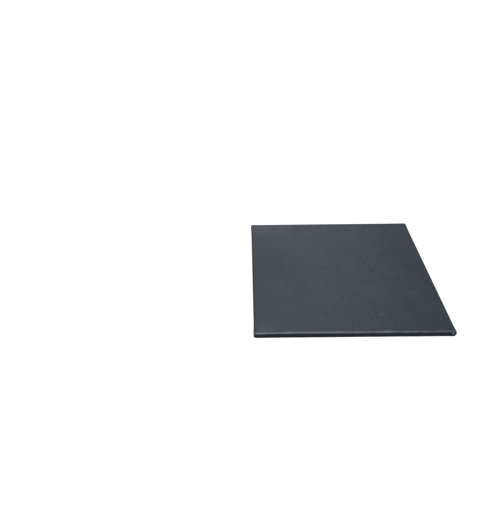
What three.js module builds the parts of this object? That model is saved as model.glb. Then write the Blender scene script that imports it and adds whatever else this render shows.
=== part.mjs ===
// One square rubber floor mat of pressed crumb, laid flat, with its walked-on face up.
// Millimetres, +Z up. The origin is the middle of the underside, and the side faces look along X and Y.
import * as THREE from "three";

// Plan of the mat: its sides and their corners, and the corners of the flat top face inside the round edge
const SIDE_LENGTH = 500;
const CORNER_RADIUS = 5;
const TOP_FACE_CORNER_RADIUS = 4;

// Section of the mat, from the floor up
const THICKNESS = 15;
const TOP_EDGE_RADIUS = 6;
const FOOT_EDGE_RADIUS = 2;

// Steps of the round edges and corners
const CORNER_STEPS = 10;
const TOP_EDGE_STEPS = 8;
const FOOT_EDGE_STEPS = 3;

const CRUMB_RUBBER = new THREE.MeshStandardMaterial({
  name: "crumb_rubber",
  color: new THREE.Color().setRGB(0.022, 0.031, 0.043),
  roughness: 0.75,
  metalness: 0,
});

// A square outline with round corners, drawn in from the side faces by inset.
// Every outline has the same number of points in the same order, so that rings of them join up.
function planOutline(inset, cornerRadius) {
  const centre = SIDE_LENGTH / 2 - inset - cornerRadius;
  const points = [];
  for (let corner = 0; corner < 4; corner++) {
    const start = (corner * Math.PI) / 2;
    const centreX = centre * Math.sign(Math.cos(start + Math.PI / 4));
    const centreY = centre * Math.sign(Math.sin(start + Math.PI / 4));
    for (let step = 0; step <= CORNER_STEPS; step++) {
      const angle = start + (step / CORNER_STEPS) * (Math.PI / 2);
      points.push(
        new THREE.Vector2(
          centreX + cornerRadius * Math.cos(angle),
          centreY + cornerRadius * Math.sin(angle),
        ),
      );
    }
  }
  return points;
}

// The section of one edge, from the underside to the top face. Each step says how far in from the side face
// it lies, its height above the floor, and the radius of the corners of its outline.
function edgeSection() {
  const section = [];
  for (let step = 0; step <= FOOT_EDGE_STEPS; step++) {
    const angle = (step / FOOT_EDGE_STEPS) * (Math.PI / 2);
    section.push({
      inset: FOOT_EDGE_RADIUS * (1 - Math.sin(angle)),
      height: FOOT_EDGE_RADIUS * (1 - Math.cos(angle)),
      cornerRadius: CORNER_RADIUS,
    });
  }
  for (let step = 0; step <= TOP_EDGE_STEPS; step++) {
    const angle = (step / TOP_EDGE_STEPS) * (Math.PI / 2);
    const turnedIn = 1 - Math.cos(angle);
    section.push({
      inset: TOP_EDGE_RADIUS * turnedIn,
      height: THICKNESS - TOP_EDGE_RADIUS * (1 - Math.sin(angle)),
      cornerRadius: THREE.MathUtils.lerp(CORNER_RADIUS, TOP_FACE_CORNER_RADIUS, turnedIn),
    });
  }
  return section;
}

// The whole mat as one closed skin: a ring of points at each step of the section, and the two flat faces.
function matGeometry() {
  const rings = edgeSection().map(({ inset, height, cornerRadius }) => ({
    outline: planOutline(inset, cornerRadius),
    height,
  }));
  const around = rings[0].outline.length;
  const positions = rings.flatMap(({ outline, height }) => outline.flatMap(({ x, y }) => [x, y, height]));
  const indices = [];
  for (let ring = 0; ring + 1 < rings.length; ring++) {
    for (let i = 0; i < around; i++) {
      const next = (i + 1) % around;
      const low = ring * around + i;
      const lowNext = ring * around + next;
      indices.push(low, lowNext, lowNext + around, low, lowNext + around, low + around);
    }
  }
  const topStart = (rings.length - 1) * around;
  const underside = THREE.ShapeUtils.triangulateShape(rings[0].outline, []);
  const topFace = THREE.ShapeUtils.triangulateShape(rings.at(-1).outline, []);
  underside.forEach(([a, b, c]) => indices.push(a, c, b));
  topFace.forEach(([a, b, c]) => indices.push(topStart + a, topStart + b, topStart + c));

  const geometry = new THREE.BufferGeometry();
  geometry.setAttribute("position", new THREE.Float32BufferAttribute(positions, 3));
  geometry.setIndex(indices);
  geometry.computeVertexNormals();
  return geometry;
}

const mat = new THREE.Mesh(matGeometry(), CRUMB_RUBBER);
mat.name = "rubber_mat";

const part = new THREE.Group();
part.add(mat);

export default part;
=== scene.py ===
import math

import bpy
import numpy as np
from mathutils import Matrix, Vector
from mathutils.geometry import delaunay_2d_cdt


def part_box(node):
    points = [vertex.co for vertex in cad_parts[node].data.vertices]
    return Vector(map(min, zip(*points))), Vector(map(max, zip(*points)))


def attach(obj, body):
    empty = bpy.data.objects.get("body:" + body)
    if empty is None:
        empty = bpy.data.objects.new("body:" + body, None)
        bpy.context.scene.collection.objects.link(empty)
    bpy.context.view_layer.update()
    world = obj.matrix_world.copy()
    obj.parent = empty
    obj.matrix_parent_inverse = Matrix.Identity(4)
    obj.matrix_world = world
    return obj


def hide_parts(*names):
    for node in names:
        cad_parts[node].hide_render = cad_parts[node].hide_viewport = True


MM = 0.001

# The mat's round edges and corners, as in the CAD section. Its sides and thickness come from the frame.
CORNER_RADIUS = 5 * MM
TOP_FACE_CORNER_RADIUS = 4 * MM
TOP_EDGE_RADIUS = 6 * MM
FOOT_EDGE_RADIUS = 2 * MM

# How closely the skin is divided: round the mat, up its section, and over the two flat faces
ROUND_STEP = 0.85 * MM
TOP_EDGE_STEPS = 11
SIDE_STEPS = 8
FOOT_EDGE_STEPS = 3
TOP_GRID = 4 * MM
UNDERSIDE_GRID = 5 * MM

# Relief cut into the skin, as depths below the CAD surface: the crumbs, what is worn off the foot, and
# a slight wave of the top
SEED = 11
CRUMB_SIZE = 2.8 * MM
SIDE_CRUMB_DEPTH = 0.42 * MM
RIM_CRUMB_DEPTH = 0.03 * MM
UNDERSIDE_CRUMB_DEPTH = 0.2 * MM
LOST_CRUMB_DEPTH = 0.9 * MM
LOST_CRUMB_SHARE = 0.2
FOOT_LOSS_DEPTH = 2.6 * MM
FOOT_LOSS_HEIGHT = 3.5 * MM
FOOT_LOSS_SIZE = 8 * MM
CORNER_FOOT_LOSS_DEPTH = 2.6 * MM
CORNER_FOOT_LOSS_REACH = 8 * MM
CORNER_FOOT_LOSS_HEIGHT = 7 * MM
TOP_WAVE_DEPTH = 0.05 * MM
TOP_WAVE_SIZES = (22 * MM, 75 * MM)

# The sides draw in a little between the corners. A corner stands out fully this far along its sides, and
# the sides are drawn in fully at its reach.
SIDE_DRAW_IN = 1.7 * MM
CORNER_STAND_OUT = 6 * MM
NEAR_RIGHT_CORNER_REACH = 22 * MM
OTHER_CORNER_REACH = 60 * MM

# Painted highlight on the near rim: a lighter colour standing in for the light its rounding catches.
# The band is where it starts, is full, fades and ends, in from the side. The rows are places along X,
# each with how strong and how patchy the painted highlight is there.
PAINTED_HIGHLIGHT_PATCH_SIZE = 7 * MM
PAINTED_HIGHLIGHT_BAND = (1.2 * MM, 3 * MM, 5.5 * MM, 7.5 * MM)
PAINTED_HIGHLIGHT_ROWS = np.array((
    (-0.250, 0.52, 0.1),
    (-0.160, 0.72, 0.1),
    (-0.035, 0.76, 0.1),
    (0.030, 0.68, 0.4),
    (0.044, 0.50, 0.5),
    (0.054, 0.90, 0.1),
    (0.086, 0.85, 0.1),
    (0.096, 0.35, 0.6),
    (0.140, 0.40, 0.9),
    (0.250, 0.22, 0.4),
))

# A small chip out of the near side beside its right corner, with a pale spot in it
CHIP_PLACE = np.array((239.8, -250.0, 9.6)) * MM
CHIP_SIZE = 3 * MM
CHIP_DEPTH = 0.8 * MM

# Shares of the texture map's width: the top with its rim and sides unfolded round it, and the underside
TOP_MAP_SHARE = 0.68
UNDERSIDE_MAP_SHARE = 0.3
MAP_MARGIN = 0.005

# Rubber colours, as linear light, with painted highlight, painted sheen and painted shade among them
TOP_COLOUR = (0.0211, 0.0279, 0.0374, 1)
# Painted highlight: the lighter colour of the near rim, in place of the light it catches
PAINTED_HIGHLIGHT_COLOUR = (0.090, 0.107, 0.130, 1)
# Pale colour of the dust marks, also used for painted sheen and a painted highlight on the top
DUST_AND_SHEEN_COLOUR = (0.12, 0.137, 0.157, 1)
DARK_COLOUR = (0.011, 0.0147, 0.0195, 1)
# The sides are darker than the top: partly the rough crumb's own colour, partly painted shade on sides
# turned from the light
SIDE_COLOUR = (0.0058, 0.0098, 0.0185, 1)
CHIP_COLOUR = (0.46, 0.5, 0.54, 1)
TOP_ROUGHNESS = 0.33
RIM_ROUGHNESS = 0.25
SIDE_ROUGHNESS = 0.9
CRUMB_ROUGHNESS_SPREAD = (-0.05, 0.05)

# The rubber's grain: large and small crumbs, bent out of true, and pores between some of them
SMALL_CRUMB_SIZE = 1.3 * MM
SMALL_CRUMB_SHARE = 0.4
BEND_SIZE = 2.2 * MM
BEND_REACH = 1.6 * MM
VALLEY_WIDTH = 0.35 * MM
PORE_WIDTHS = (0.05 * MM, 0.22 * MM)
PORE_PATCH_SIZE = 4 * MM
PORE_PATCH_LEVELS = (0.54, 0.64)
CLOUD_SIZE = 110 * MM
MOTTLE_SIZE = 45 * MM
FINE_GRAIN_SIZE = 0.7 * MM

# How much lighter or darker each of them makes the colour, at its least and at its most
CRUMB_TONES = (0.83, 1.17)
CLOUD_TONES = (0.93, 1.07)
MOTTLE_TONES = (0.89, 1.11)
# The pores are darker: painted shade in their hollows
PORE_TONES = (1.02, 0.76)

# How strongly the crumbs tilt and how deep the rest looks, on the rough sides and on the moulded rim and top
CRUMB_TILTS = (0.8, 0.1)
VALLEY_DEPTHS = (0.2 * MM, 0.035 * MM)
PORE_DEPTHS = (-0.5 * MM, -0.12 * MM)
FINE_GRAIN_DEPTHS = (0.2 * MM, 0.03 * MM)

# Faint marks on the top: the middle of each, its reach along X, Y and Z, its strength and its colour. The
# small pale marks are dust; the others are painted sheen, painted highlight and painted shade, as said at
# each.
MARKS = (
    # Painted sheen: a pale patch at the rear left corner, where the light's sheen on the top is brightest
    ((-0.235, 0.250, 0.015), (0.15, 0.090, 0.02), 0.19, DUST_AND_SHEEN_COLOUR),
    # Painted highlight: a pale patch at the near left corner, widening the near rim's painted highlight
    ((-0.228, -0.232, 0.015), (0.045, 0.030, 0.02), 0.09, DUST_AND_SHEEN_COLOUR),
    ((0.239, 0.066, 0.015), (0.009, 0.022, 0.01), 0.16, DUST_AND_SHEEN_COLOUR),
    ((0.0775, -0.184, 0.015), (0.008, 0.006, 0.01), 0.3, DUST_AND_SHEEN_COLOUR),
    # A darker patch on the left of the top
    ((-0.225, 0.03, 0.015), (0.15, 0.16, 0.02), 0.5, DARK_COLOUR),
    # Painted shade: darker over the right of the top, where the light's sheen falls off
    ((0.235, 0.10, 0.015), (0.14, 0.24, 0.02), 0.35, DARK_COLOUR),
)
MARK_GRAIN_SIZE = 5 * MM
MARK_GRAIN_SHARES = (0.5, 1.5)

# The camera that took the photograph: its place, where it looks, and the width of its view
CAMERA_PLACE = Vector((-0.2641, -1.1493, 0.9070))
CAMERA_YAW = math.radians(-0.535)
CAMERA_PITCH = math.radians(36.119)
CAMERA_ROLL = math.radians(-0.912)
FOCAL_PIXELS = 511.17
PHOTO_SIZE = (486, 513)
SENSOR_WIDTH = 36.0

# The floor's shade, and its own glow to the camera
FLOOR_COLOUR = (0.45, 0.45, 0.45, 1)
FLOOR_GLOW = 0.68
FLOOR_HALF_WIDTH = 15.0


def smooth(t):
    return t * t * (3 - 2 * t)


def ramp(value, low, high):
    """0 at low, 1 at high, and smooth between them."""
    return smooth(np.clip((value - low) / (high - low), 0, 1))


def hashed(cells, seed):
    """One random number from 0 to 1 for each whole-numbered cell, the same in every run."""
    x, y, z = (cells[..., i].astype(np.int64).astype(np.uint32) for i in range(3))
    h = x * np.uint32(0x8DA6B343) ^ y * np.uint32(0xD8163841) ^ z * np.uint32(0xCB1AB31F)
    h ^= np.uint32(seed * 0x9E3779B1 & 0xFFFFFFFF)
    for shift, factor in ((16, 0x7FEB352D), (15, 0x846CA68B)):
        h = (h ^ (h >> np.uint32(shift))) * np.uint32(factor)
    return (h ^ (h >> np.uint32(16))) / 2.0**32


def soft_noise(points, cell, seed):
    """Smooth noise from 0 to 1 with lumps about one cell across."""
    place = points / cell
    low = np.floor(place)
    t = smooth(place - low)
    total = np.zeros(len(points))
    for step in np.ndindex(2, 2, 2):
        weight = np.prod(np.where(step, t, 1 - t), axis=1)
        total += weight * hashed(low + np.array(step), seed)
    return total


def crumbs(points, cell, seed):
    """Each point's distance from the middle of its crumb, in crumb sizes, and the crumb's random number."""
    place = points / cell
    low = np.floor(place)
    nearest = np.full(len(points), np.inf)
    number = np.zeros(len(points))
    for offset in np.ndindex(3, 3, 3):
        crumb = low + np.array(offset) - 1
        middle = crumb + np.stack([hashed(crumb, seed + axis) for axis in range(3)], axis=1)
        distance = np.linalg.norm(place - middle, axis=1)
        closer = distance < nearest
        nearest = np.where(closer, distance, nearest)
        number = np.where(closer, hashed(crumb, seed + 3), number)
    return nearest, number


def rounded_square(half, corner_radius, sharp_half):
    """Points round a square with round corners, and the way each one faces.

    Every ring of the mat gets the same number of points, in the same order.
    """
    corner_steps = round(CORNER_RADIUS * math.pi / 2 / ROUND_STEP)
    side_steps = round(2 * (sharp_half - CORNER_RADIUS) / ROUND_STEP)
    straight = half - corner_radius
    points, facing = [], []
    for quarter in range(4):
        turned = (quarter + np.arange(corner_steps + 1) / corner_steps) * math.pi / 2
        outward = np.stack([np.cos(turned), np.sin(turned)], axis=1)
        diagonal = (quarter + 0.5) * math.pi / 2
        middle = straight * np.sign([math.cos(diagonal), math.sin(diagonal)])
        arc = middle + corner_radius * outward
        along = np.array([-outward[-1, 1], outward[-1, 0]])
        shares = np.arange(1, side_steps)[:, None] / side_steps
        points += [arc, arc[-1] + shares * 2 * straight * along]
        facing += [outward, np.repeat(outward[-1:], side_steps - 1, axis=0)]
    return np.concatenate(points), np.concatenate(facing)


def with_third(rows, value):
    """Rows of two numbers with the same third number put behind each."""
    return np.column_stack([rows, np.full(len(rows), value)])


class Ring:
    """A closed row of points round the mat, at one step of its section."""

    def __init__(self, sharp_half, inset, corner_radius, height, tilt, unfolded):
        self.half = sharp_half - inset
        self.outline, self.facing = rounded_square(self.half, corner_radius, sharp_half)
        self.places = with_third(self.outline, height)
        self.normals = with_third(self.facing * math.cos(tilt), math.sin(tilt))
        self.unfolded = unfolded


def section_rings(half, thickness):
    """The rings of the mat's rim and sides, from the underside's outline up to the top face's."""
    rings = []
    side = thickness - TOP_EDGE_RADIUS - FOOT_EDGE_RADIUS
    top_arc = TOP_EDGE_RADIUS * math.pi / 2
    foot_arc = FOOT_EDGE_RADIUS * math.pi / 2
    for step in range(FOOT_EDGE_STEPS):
        share = step / FOOT_EDGE_STEPS
        angle = share * math.pi / 2
        inset = FOOT_EDGE_RADIUS * (1 - math.sin(angle))
        height = FOOT_EDGE_RADIUS * (1 - math.cos(angle))
        unfolded = top_arc + side + foot_arc * (1 - share)
        rings.append(Ring(half, inset, CORNER_RADIUS, height, angle - math.pi / 2, unfolded))
    for step in range(SIDE_STEPS):
        share = step / SIDE_STEPS
        height = FOOT_EDGE_RADIUS + share * side
        rings.append(Ring(half, 0, CORNER_RADIUS, height, 0, top_arc + side * (1 - share)))
    for step in range(TOP_EDGE_STEPS + 1):
        share = step / TOP_EDGE_STEPS
        angle = share * math.pi / 2
        turned_in = 1 - math.cos(angle)
        corner_radius = CORNER_RADIUS + (TOP_FACE_CORNER_RADIUS - CORNER_RADIUS) * turned_in
        inset = TOP_EDGE_RADIUS * turned_in
        height = thickness - TOP_EDGE_RADIUS * (1 - math.sin(angle))
        rings.append(Ring(half, inset, corner_radius, height, angle, top_arc * (1 - share)))
    return rings


def points_inside(ring, grid, rng):
    """Loose points over the flat face inside a ring: two rows that coarsen inwards, then a shaken grid."""
    rows = [ring.outline[::skip] * (1 - inset * grid / ring.half) for skip, inset in ((2, 0.4), (4, 1.2))]
    reach = ring.half - 2.1 * grid
    line = np.linspace(-reach, reach, int(2 * reach / grid) + 1)
    inner = np.stack(np.meshgrid(line, line), axis=-1).reshape(-1, 2)
    inner += rng.uniform(-0.2, 0.2, inner.shape) * grid
    return np.concatenate(rows + [inner])


def triangles_over(outline, inside):
    """Triangles, as rows of three point numbers, over an outline and the loose points inside it."""
    flat = [Vector(p) for p in np.concatenate([outline, inside])]
    edges = [(i, (i + 1) % len(outline)) for i in range(len(outline))]
    points, _, faces, origins, _, _ = delaunay_2d_cdt(flat, edges, [], 0, 1e-7)
    if len(points) != len(flat):
        raise ValueError("points of a flat face have merged")
    number = [origin[0] for origin in origins]
    return np.array([[number[i] for i in face] for face in faces])


class Skin:
    """The mat's whole surface before any relief: its points, the way they face, its faces, and its map."""

    def __init__(self, half, thickness):
        rng = np.random.default_rng(SEED)
        rings = section_rings(half, thickness)
        foot_ring, top_ring = rings[0], rings[-1]
        around = len(foot_ring.outline)
        here = np.arange(around)
        after = (here + 1) % around
        bands = [np.stack([here, after, after + around, here + around], axis=1) for _ in rings[1:]]
        self.quads = np.concatenate([band + row * around for row, band in enumerate(bands)])

        over_top = points_inside(top_ring, TOP_GRID, rng)
        under = points_inside(foot_ring, UNDERSIDE_GRID, rng)
        first_over = around * len(rings)
        first_under = first_over + len(over_top)
        top = triangles_over(top_ring.outline, over_top)
        self.top = np.where(top < around, top + first_over - around, top - around + first_over)
        underside = triangles_over(foot_ring.outline, under)[:, ::-1]
        self.underside = np.where(underside < around, underside, underside - around + first_under)

        inner_places = [with_third(over_top, thickness), with_third(under, 0)]
        inner_normals = [with_third(0 * over_top, 1), with_third(0 * under, -1)]
        unfolded = [top_ring.outline + ring.facing * ring.unfolded for ring in rings]
        self.places = np.concatenate([ring.places for ring in rings] + inner_places)
        self.normals = np.concatenate([ring.normals for ring in rings] + inner_normals)
        self.unfolded = np.concatenate(unfolded + [over_top, under])

    def faces(self):
        return self.quads.tolist() + self.top.tolist() + self.underside.tolist()

    def map_places(self):
        """For each corner of each face, its place on the texture map."""
        round_top = np.concatenate([self.quads.ravel(), self.top.ravel()])
        top_half = np.abs(self.unfolded).max()
        top = MAP_MARGIN + (self.unfolded[round_top] / top_half + 1) / 2 * TOP_MAP_SHARE
        below = self.places[self.underside.ravel(), :2]
        corner = 1 - MAP_MARGIN - UNDERSIDE_MAP_SHARE
        below = corner + (below / np.abs(below).max() + 1) / 2 * UNDERSIDE_MAP_SHARE
        return np.concatenate([top, below])


def chip_share(places):
    return 1 - ramp(np.linalg.norm(places - CHIP_PLACE, axis=1) / CHIP_SIZE, 0.5, 1.2)


def relief(places, normals):
    """How deep each point of the skin lies below the CAD surface."""
    height = places[:, 2]
    up = np.clip(normals[:, 2], 0, 1)
    down = np.clip(-normals[:, 2], 0, 1)
    level = 1 - up - down
    side = ramp(level, 0.35, 0.95)
    rim = ramp(up, 0, 0.3) * ramp(up, 1, 0.9)

    distance, number = crumbs(places, CRUMB_SIZE, SEED)
    between = np.clip(distance / 0.75, 0, 1) ** 2
    depth = between * (SIDE_CRUMB_DEPTH * side + RIM_CRUMB_DEPTH * rim + UNDERSIDE_CRUMB_DEPTH * down)
    depth += LOST_CRUMB_DEPTH * side * ramp(number, 1 - LOST_CRUMB_SHARE, 1)
    near_foot = ramp(height, FOOT_LOSS_HEIGHT, 0) * ramp(side, 0, 0.5)
    depth += FOOT_LOSS_DEPTH * near_foot * ramp(soft_noise(places, FOOT_LOSS_SIZE, SEED + 20), 0.4, 0.9)
    waves = [soft_noise(places, size, SEED + 30 + i) for i, size in enumerate(TOP_WAVE_SIZES)]
    depth += TOP_WAVE_DEPTH * np.mean(waves, axis=0) * ramp(up, 0, 0.7)

    from_corner = np.abs(places[:, :2]).max(axis=1) - np.abs(places[:, :2]).min(axis=1)
    corner_foot = ramp(from_corner, CORNER_FOOT_LOSS_REACH, 0) * ramp(height, CORNER_FOOT_LOSS_HEIGHT, 0)
    depth += CORNER_FOOT_LOSS_DEPTH * corner_foot * level
    near_right = (places[:, 0] > 0) & (places[:, 1] < 0)
    corner_reach = np.where(near_right, NEAR_RIGHT_CORNER_REACH, OTHER_CORNER_REACH)
    drawn_in = ramp(from_corner, CORNER_STAND_OUT, corner_reach)
    depth += SIDE_DRAW_IN * drawn_in * (1 - ramp(up, 0.2, 1)) * (1 - down)
    return depth + CHIP_DEPTH * chip_share(places)


def build_mat(low, high):
    skin = Skin((high.x - low.x) / 2, high.z - low.z)
    moved = skin.places - skin.normals * relief(skin.places, skin.normals)[:, None]
    mesh = bpy.data.meshes.new("rubber_mat_skin")
    mesh.from_pydata(moved.tolist(), [], skin.faces())
    mesh.shade_smooth()
    for name, values in skin_regions(skin.places, skin.normals).items():
        attribute = mesh.attributes.new(name, "FLOAT", "POINT")
        attribute.data.foreach_set("value", values.astype(np.float32))
    unfolded = mesh.uv_layers.new(name="OFBake")
    unfolded.uv.foreach_set("vector", skin.map_places().astype(np.float32).ravel())
    mat = bpy.data.objects.new("rubber_mat_skin", mesh)
    bpy.context.scene.collection.objects.link(mat)
    return mat


def skin_regions(places, normals):
    """Masks from 0 to 1 over the skin: its flat top, all that is moulded, its rim, and the painted highlight
    on its near rim.
    """
    up = np.clip(normals[:, 2], 0, 1)
    start, full, fade, end = PAINTED_HIGHLIGHT_BAND
    inset = places[:, 1] - places[:, 1].min()
    near_rim = ramp(inset, start, full) * ramp(inset, end, fade) * ramp(up, 0, 0.3)
    along, strengths, patchinesses = PAINTED_HIGHLIGHT_ROWS.T
    strength = np.interp(places[:, 0], along, strengths)
    patchiness = np.interp(places[:, 0], along, patchinesses)
    patchy = 1 + patchiness * (2 * soft_noise(places, PAINTED_HIGHLIGHT_PATCH_SIZE, SEED + 40) - 1)
    return {
        "top": ramp(up, 0.35, 0.95),
        "moulded": ramp(up, 0.1, 0.4),
        "rim": ramp(up, 0.3, 0.6) * ramp(up, 1, 0.9),
        # painted highlight along the near rim
        "painted_highlight": near_rim * np.clip(patchy * strength, 0, 1),
    }


class Nodes:
    """Short ways to add nodes to one material and join them up."""

    def __init__(self, name):
        self.material = bpy.data.materials.new(name)
        self.material.use_nodes = True
        self.tree = self.material.node_tree
        self.shader = self.tree.nodes["Principled BSDF"]
        self.place = self.tree.nodes.new("ShaderNodeTexCoord").outputs["Object"]

    def put(self, socket, value):
        if isinstance(value, bpy.types.NodeSocket):
            self.tree.links.new(value, socket)
        else:
            socket.default_value = value

    def noise(self, size, detail, roughness=0.5, seed=0.0, output="Fac"):
        node = self.tree.nodes.new("ShaderNodeTexNoise")
        node.noise_dimensions = "4D"
        self.put(node.inputs["Vector"], self.place)
        self.put(node.inputs["W"], seed)
        self.put(node.inputs["Scale"], 1 / size)
        self.put(node.inputs["Detail"], detail)
        self.put(node.inputs["Roughness"], roughness)
        return node.outputs[output]

    def vector(self, operation, a, b, output="Vector"):
        node = self.tree.nodes.new("ShaderNodeVectorMath")
        node.operation = operation
        self.put(node.inputs[0], a)
        self.put(node.inputs["Scale" if operation == "SCALE" else 1], b)
        return node.outputs[output]

    def cells(self, place, size, feature="F1"):
        node = self.tree.nodes.new("ShaderNodeTexVoronoi")
        node.feature = feature
        self.put(node.inputs["Vector"], place)
        self.put(node.inputs["Scale"], 1 / size)
        return node.outputs

    def math(self, operation, a, b=0.0):
        node = self.tree.nodes.new("ShaderNodeMath")
        node.operation = operation
        self.put(node.inputs[0], a)
        self.put(node.inputs[1], b)
        return node.outputs[0]

    def spread(self, value, low, high, to_low, to_high):
        """value, from low to high, stretched to run from to_low to to_high and held there."""
        node = self.tree.nodes.new("ShaderNodeMapRange")
        for socket, number in zip(node.inputs, (value, low, high, to_low, to_high)):
            self.put(socket, number)
        return node.outputs[0]

    def clouds(self, size, detail, roughness, seed, values):
        """Soft patches about one size across, which run from the first value to the second."""
        return self.spread(self.noise(size, detail, roughness, seed), 0.3, 0.7, *values)

    def mix(self, share, a, b):
        node = self.tree.nodes.new("ShaderNodeMix")
        for socket, value in zip(node.inputs[:4], (share, None, a, b)):
            if value is not None:
                self.put(socket, value)
        return node.outputs[0]

    def patch(self, middle, reach):
        """1 at the middle of a round or oval patch, and fading to 0 where it ends."""
        offset = self.vector("SUBTRACT", self.place, middle)
        stretched = self.vector("DIVIDE", offset, reach)
        return self.spread(self.vector("LENGTH", stretched, (0, 0, 0), "Value"), 0.15, 1, 1, 0)

    def mask(self, name):
        node = self.tree.nodes.new("ShaderNodeAttribute")
        node.attribute_name = name
        return node.outputs["Fac"]

    def blend(self, share, a, b):
        node = self.tree.nodes.new("ShaderNodeMix")
        node.data_type = "RGBA"
        for name, value in (("Factor_Float", share), ("A_Color", a), ("B_Color", b)):
            self.put(next(socket for socket in node.inputs if socket.identifier == name), value)
        return next(socket for socket in node.outputs if socket.identifier == "Result_Color")

    def bump(self, height, distance, normal=None):
        node = self.tree.nodes.new("ShaderNodeBump")
        self.put(node.inputs["Height"], height)
        self.put(node.inputs["Distance"], distance)
        if normal is not None:
            self.put(node.inputs["Normal"], normal)
        return node.outputs["Normal"]


def crumb_layer(n, place, size):
    """Crumbs of one size: a random number for each, how far in from its border, and its tilted face."""
    crumb = n.cells(place, size)
    border = n.math("MULTIPLY", n.cells(place, size, "DISTANCE_TO_EDGE")["Distance"], size)
    leaning = n.vector("SUBTRACT", crumb["Color"], (0.5, 0.5, 0.5))
    tilt = n.vector("DOT_PRODUCT", n.vector("SUBTRACT", place, crumb["Position"]), leaning, "Value")
    return n.math("FRACT", n.math("MULTIPLY", crumb["Color"], 7.0)), border, tilt


def crumb_rubber():
    n = Nodes("crumb_rubber")
    top, moulded, rim, painted_highlight = map(n.mask, ("top", "moulded", "rim", "painted_highlight"))
    # Sides darker than the top: partly the crumb's own colour, partly painted shade
    colour = n.blend(top, SIDE_COLOUR, TOP_COLOUR)
    # Painted highlight: lighter colour on the near rim in place of the light its rounding catches
    colour = n.blend(painted_highlight, colour, PAINTED_HIGHLIGHT_COLOUR)
    colour = n.blend(n.patch(CHIP_PLACE, (CHIP_SIZE,) * 3), colour, CHIP_COLOUR)
    grain = n.clouds(MARK_GRAIN_SIZE, 2, 0.6, 9, MARK_GRAIN_SHARES)
    # Faint marks on the top: dust, painted sheen, a painted highlight and painted shade
    for middle, reach, strength, mark_colour in MARKS:
        share = n.math("MULTIPLY", n.patch(middle, reach), n.math("MULTIPLY", grain, strength))
        colour = n.blend(share, colour, mark_colour)

    bend = n.vector("SUBTRACT", n.noise(BEND_SIZE, 2, 0.6, seed=1, output="Color"), (0.5, 0.5, 0.5))
    place = n.vector("ADD", n.place, n.vector("SCALE", bend, BEND_REACH))
    large, large_border, large_tilt = crumb_layer(n, place, CRUMB_SIZE)
    small, small_border, small_tilt = crumb_layer(n, place, SMALL_CRUMB_SIZE)
    split = n.spread(large, SMALL_CRUMB_SHARE, SMALL_CRUMB_SHARE + 0.01, 1, 0)
    number = n.mix(split, large, small)
    border = n.math("MINIMUM", large_border, n.mix(split, 1.0, small_border))
    tilt = n.mix(split, large_tilt, small_tilt)

    valley = n.spread(border, 0, VALLEY_WIDTH, -1, 0)
    pore_patches = n.noise(PORE_PATCH_SIZE, 2, 0.6, seed=7)
    pore = n.math("MULTIPLY", n.spread(border, *PORE_WIDTHS, 1, 0),
                  n.spread(pore_patches, *PORE_PATCH_LEVELS, 0, 1))
    cloud = n.clouds(CLOUD_SIZE, 3, 0.55, 3, CLOUD_TONES)
    mottle = n.clouds(MOTTLE_SIZE, 4, 0.6, 5, MOTTLE_TONES)
    tone = n.math("MULTIPLY", n.spread(number, 0, 1, *CRUMB_TONES), n.math("MULTIPLY", cloud, mottle))
    # Painted shade: darker colour in the pores
    tone = n.math("MULTIPLY", tone, n.spread(pore, 0, 1, *PORE_TONES))
    n.put(n.shader.inputs["Base Color"], n.vector("SCALE", colour, tone))

    normal = n.bump(tilt, n.spread(moulded, 0, 1, *CRUMB_TILTS))
    normal = n.bump(valley, n.spread(moulded, 0, 1, *VALLEY_DEPTHS), normal)
    normal = n.bump(pore, n.spread(moulded, 0, 1, *PORE_DEPTHS), normal)
    fine_grain = n.noise(FINE_GRAIN_SIZE, 3, 0.6)
    normal = n.bump(fine_grain, n.spread(moulded, 0, 1, *FINE_GRAIN_DEPTHS), normal)
    n.put(n.shader.inputs["Normal"], normal)

    moulded_roughness = n.spread(rim, 0, 1, TOP_ROUGHNESS, RIM_ROUGHNESS)
    roughness = n.spread(moulded, 0, 1, SIDE_ROUGHNESS, moulded_roughness)
    crumb_roughness = n.spread(number, 0, 1, *CRUMB_ROUGHNESS_SPREAD)
    n.put(n.shader.inputs["Roughness"], n.math("ADD", roughness, crumb_roughness))
    n.shader.inputs["Specular IOR Level"].default_value = 0.5
    return n.material


def floor_material():
    """Mid grey, so that little light bounces onto the mat's sides; a glow makes it white for the camera."""
    n = Nodes("pale_floor")
    seen = n.tree.nodes.new("ShaderNodeLightPath").outputs["Is Camera Ray"]
    n.shader.inputs["Base Color"].default_value = FLOOR_COLOUR
    n.shader.inputs["Roughness"].default_value = 0.9
    n.shader.inputs["Specular IOR Level"].default_value = 0.0
    n.shader.inputs["Emission Color"].default_value = (1, 1, 1, 1)
    n.put(n.shader.inputs["Emission Strength"], n.math("MULTIPLY", seen, FLOOR_GLOW))
    return n.material


def build_floor(height):
    signs = ((-1, -1), (1, -1), (1, 1), (-1, 1))
    corners = [(x * FLOOR_HALF_WIDTH, y * FLOOR_HALF_WIDTH, height) for x, y in signs]
    mesh = bpy.data.meshes.new("floor")
    mesh.from_pydata(corners, [], [(0, 1, 2, 3)])
    mesh.materials.append(floor_material())
    floor = bpy.data.objects.new("floor", mesh)
    bpy.context.scene.collection.objects.link(floor)


def build_world(fill_light, backdrop):
    """An even white surround: faint as a light, and bright where the camera sees it as the backdrop."""
    world = bpy.data.worlds.new("studio")
    world.use_nodes = True
    nodes, links = world.node_tree.nodes, world.node_tree.links
    background = nodes["Background"]
    background.inputs["Color"].default_value = (1, 1, 1, 1)
    rays = nodes.new("ShaderNodeLightPath")
    strength = nodes.new("ShaderNodeMapRange")
    strength.inputs["To Min"].default_value = fill_light
    strength.inputs["To Max"].default_value = backdrop
    links.new(rays.outputs["Is Camera Ray"], strength.inputs["Value"])
    links.new(strength.outputs["Result"], background.inputs["Strength"])
    bpy.context.scene.world = world


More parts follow.
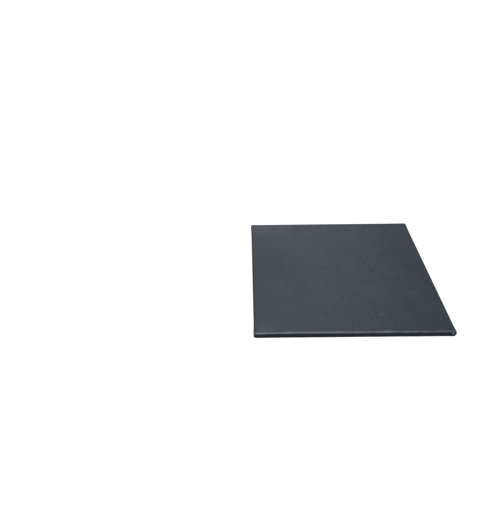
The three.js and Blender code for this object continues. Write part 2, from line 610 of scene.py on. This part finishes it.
def soft_sun(name, azimuth, elevation, strength, width, colour=(1, 1, 1)):
    """A broad lamp far away. Azimuth is measured from +Y towards +X."""
    lamp = bpy.data.lights.new(name, "SUN")
    lamp.energy = strength
    lamp.angle = math.radians(width)
    lamp.color = colour
    sun = bpy.data.objects.new(name, lamp)
    a, e = math.radians(azimuth), math.radians(elevation)
    towards = Vector((math.sin(a) * math.cos(e), math.cos(a) * math.cos(e), math.sin(e)))
    sun.rotation_mode = "QUATERNION"
    sun.rotation_quaternion = towards.to_track_quat("Z", "Y")
    bpy.context.scene.collection.objects.link(sun)


def build_camera():
    data = bpy.data.cameras.new("camera")
    data.sensor_width = SENSOR_WIDTH
    data.lens = FOCAL_PIXELS * SENSOR_WIDTH / max(PHOTO_SIZE)
    camera = bpy.data.objects.new("camera", data)
    turned = Matrix.Rotation(-CAMERA_YAW, 4, "Z")
    turned @= Matrix.Rotation(math.pi / 2 - CAMERA_PITCH, 4, "X")
    turned @= Matrix.Rotation(CAMERA_ROLL, 4, "Z")
    camera.matrix_world = Matrix.Translation(CAMERA_PLACE) @ turned
    bpy.context.scene.collection.objects.link(camera)
    bpy.context.scene.camera = camera


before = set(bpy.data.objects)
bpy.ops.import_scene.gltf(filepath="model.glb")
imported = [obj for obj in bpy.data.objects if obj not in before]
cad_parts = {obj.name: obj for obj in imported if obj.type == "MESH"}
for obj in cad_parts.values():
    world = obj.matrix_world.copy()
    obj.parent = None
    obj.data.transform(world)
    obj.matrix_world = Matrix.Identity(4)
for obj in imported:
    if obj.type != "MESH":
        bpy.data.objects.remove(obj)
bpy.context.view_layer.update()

low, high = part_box("rubber_mat")
mat = build_mat(low, high)
mat.data.materials.append(crumb_rubber())
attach(mat, "root")
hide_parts("rubber_mat")

build_floor(low.z)
build_world(fill_light=0.03, backdrop=1.1)
soft_sun("overhead_light", azimuth=0, elevation=85, strength=1.25, width=60)
soft_sun("front_light", azimuth=196, elevation=50, strength=2.6, width=30)
soft_sun("back_light", azimuth=5, elevation=38, strength=0.28, width=28, colour=(0.92, 1.01, 1.07))
build_camera()
bpy.context.scene.view_settings.view_transform = "Standard"
